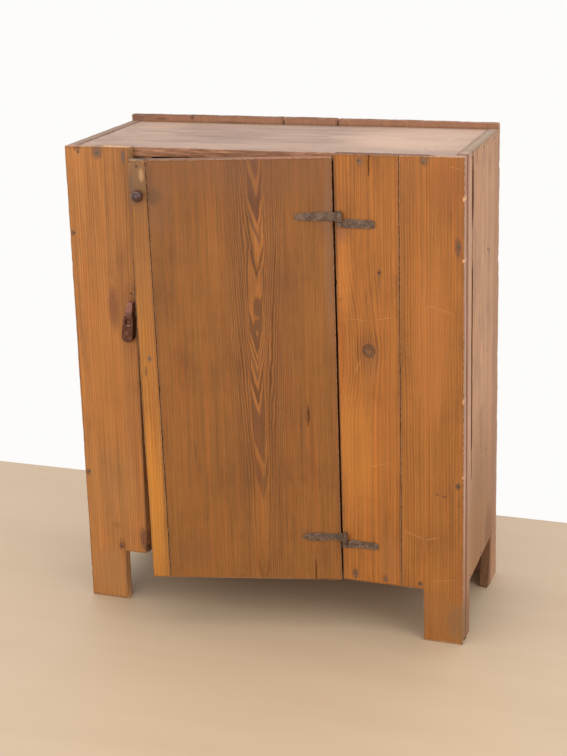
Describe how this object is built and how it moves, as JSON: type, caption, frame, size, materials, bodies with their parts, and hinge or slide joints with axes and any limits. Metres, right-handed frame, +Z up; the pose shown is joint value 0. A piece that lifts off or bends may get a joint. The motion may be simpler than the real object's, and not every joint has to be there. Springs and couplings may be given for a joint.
{
  "type": "jelly cupboard",
  "caption": "Old pine jelly cupboard of nailed boards, with shelves behind one plank door on iron pintle hinges and a wooden turn button.",
  "frame": {"origin": "on the floor, at the middle of the area that the cupboard and its ajar door cover", "axes": "+Z up, +Y from the door to the back, +X to the right as seen from the front"},
  "size_m": [0.814, 0.4672, 0.998],
  "materials": {
    "front_pine": "old waxed pine, orange brown",
    "side_pine": "dry bare pine, pinkish grey brown",
    "top_pine": "scrubbed bare pine, pale",
    "back_pine": "rough bare pine",
    "inner_pine": "rough bare pine",
    "door_pine": "old waxed pine, red brown",
    "strip_pine": "old waxed pine, golden",
    "knob_wood": "ebonised and polished",
    "button_wood": "dark stained, knife-carved",
    "wrought_iron": "hand-forged, brown patina",
    "nail_iron": "hand-forged, rusted",
    "screw_iron": "dull steel, rusted"
  },
  "bodies": {
    "case": {"side_left": "side_pine", "side_right": "side_pine", "stile_left": "front_pine", "stile_right_inner": "front_pine", "stile_right_outer": "front_pine", "door_stop": "inner_pine", "top_board": "top_pine", "bottom_board": "inner_pine", "front_nails_left": "nail_iron", "front_nails_right": "nail_iron", "side_nails": "nail_iron", "shelf_nails": "inner_pine", "back_nails": "nail_iron", "cleat_nails": "inner_pine", "pintle_strap_upper": "wrought_iron", "pintle_strap_lower": "wrought_iron", "pintle_nails": "nail_iron", "turn_button_screw": "screw_iron", "back_board_left": "back_pine", "back_board_middle": "back_pine", "back_board_right": "back_pine", "shelf_lower": "inner_pine", "cleat_lower_left": "inner_pine", "cleat_lower_right": "inner_pine", "shelf_middle": "inner_pine", "cleat_middle_left": "inner_pine", "cleat_middle_right": "inner_pine", "shelf_upper": "inner_pine", "cleat_upper_left": "inner_pine", "cleat_upper_right": "inner_pine"},
    "door": {"door_board": "door_pine", "door_edge_strip": "strip_pine", "door_batten_upper": "inner_pine", "door_batten_lower": "inner_pine", "batten_nails": "nail_iron", "hinge_strap_upper": "wrought_iron", "hinge_strap_lower": "wrought_iron", "hinge_strap_nails": "nail_iron", "door_knob": "knob_wood", "knob_screw": "screw_iron"},
    "turn_button": {"turn_button": "button_wood"}
  },
  "joints": [
    {"name": "door_swing", "type": "hinge", "parent": "case", "child": "door", "pos_m": [0.1685, -0.12242, 0.864], "axis": [0, 0, 1], "range_deg": [-13.9, 151.1]},
    {"name": "button_turn", "type": "hinge", "parent": "case", "child": "turn_button", "pos_m": [-0.2795, -0.12292, 0.6275], "axis": [0, 1, 0], "continuous": true}
  ]
}
